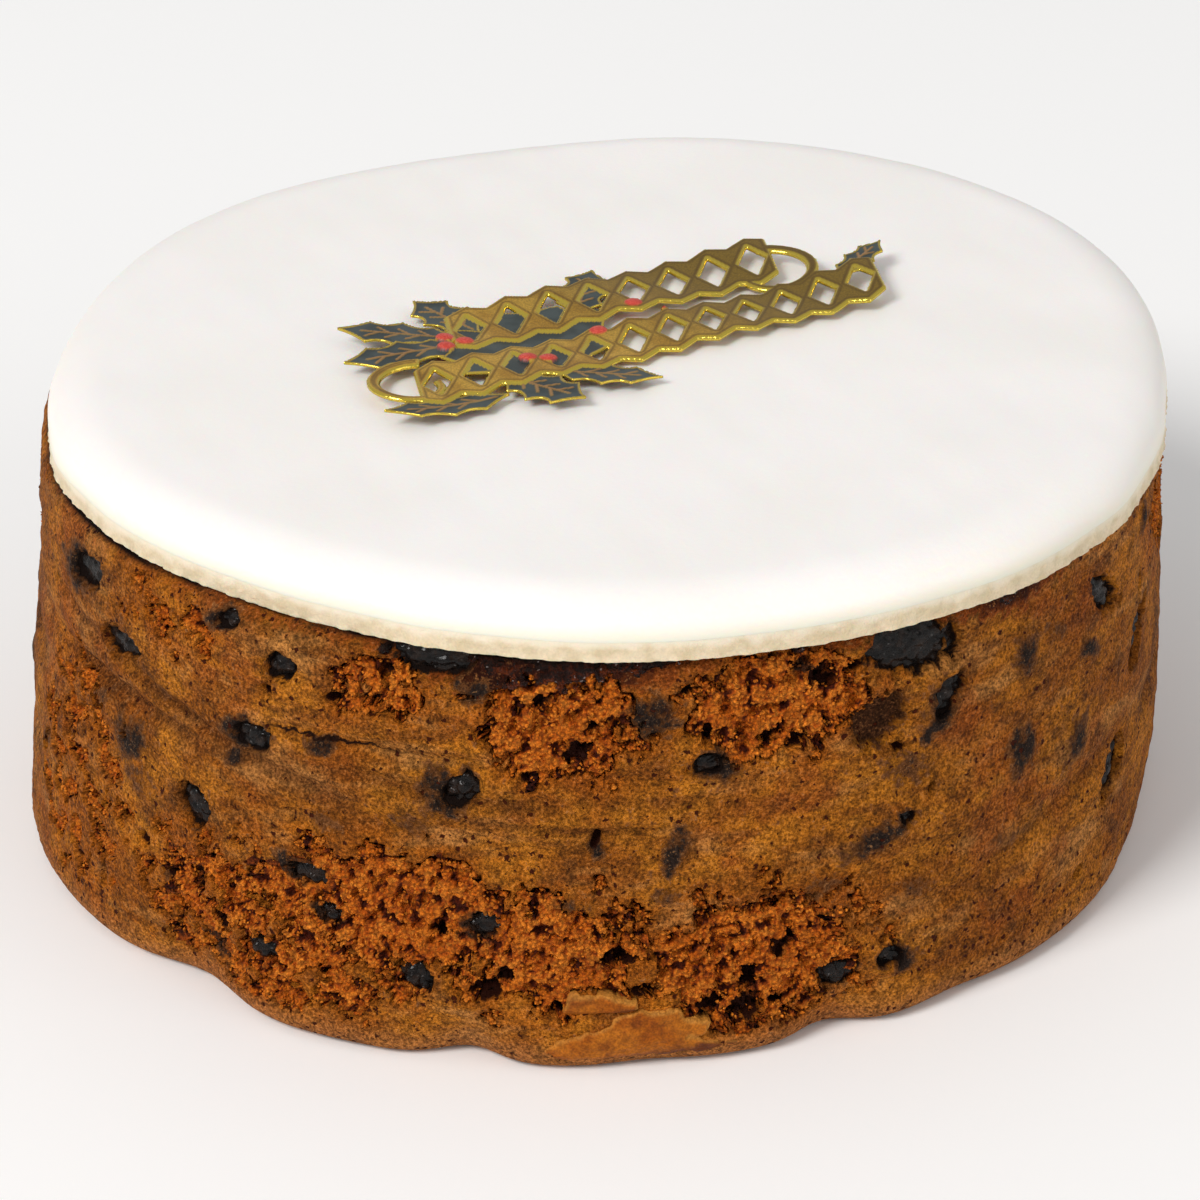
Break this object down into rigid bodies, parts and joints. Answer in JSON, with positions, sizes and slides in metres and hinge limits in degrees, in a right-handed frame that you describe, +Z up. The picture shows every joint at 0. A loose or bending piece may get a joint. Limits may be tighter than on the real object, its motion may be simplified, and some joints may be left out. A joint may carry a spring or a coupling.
{
  "type": "iced christmas fruit cake",
  "caption": "Round fruit cake on a flat base, topped with marzipan, a rolled white icing disc and an embossed gold holly trim.",
  "frame": {"origin": "middle of the cake's flat base", "axes": "+Z up through the cake to the icing, -Y towards the near side, +X to its right"},
  "size_m": [0.1569, 0.157, 0.068],
  "materials": {
    "fruit_cake": "baked brown crumb with dark fruit",
    "marzipan": "soft grainy almond paste",
    "icing": "smooth satin sugar paste",
    "holly_foil": "embossed gold foil with green and red print"
  },
  "bodies": {
    "root": {"fruit_cake": "fruit_cake", "marzipan": "marzipan", "icing": "icing", "holly_foil": "holly_foil"}
  },
  "joints": []
}
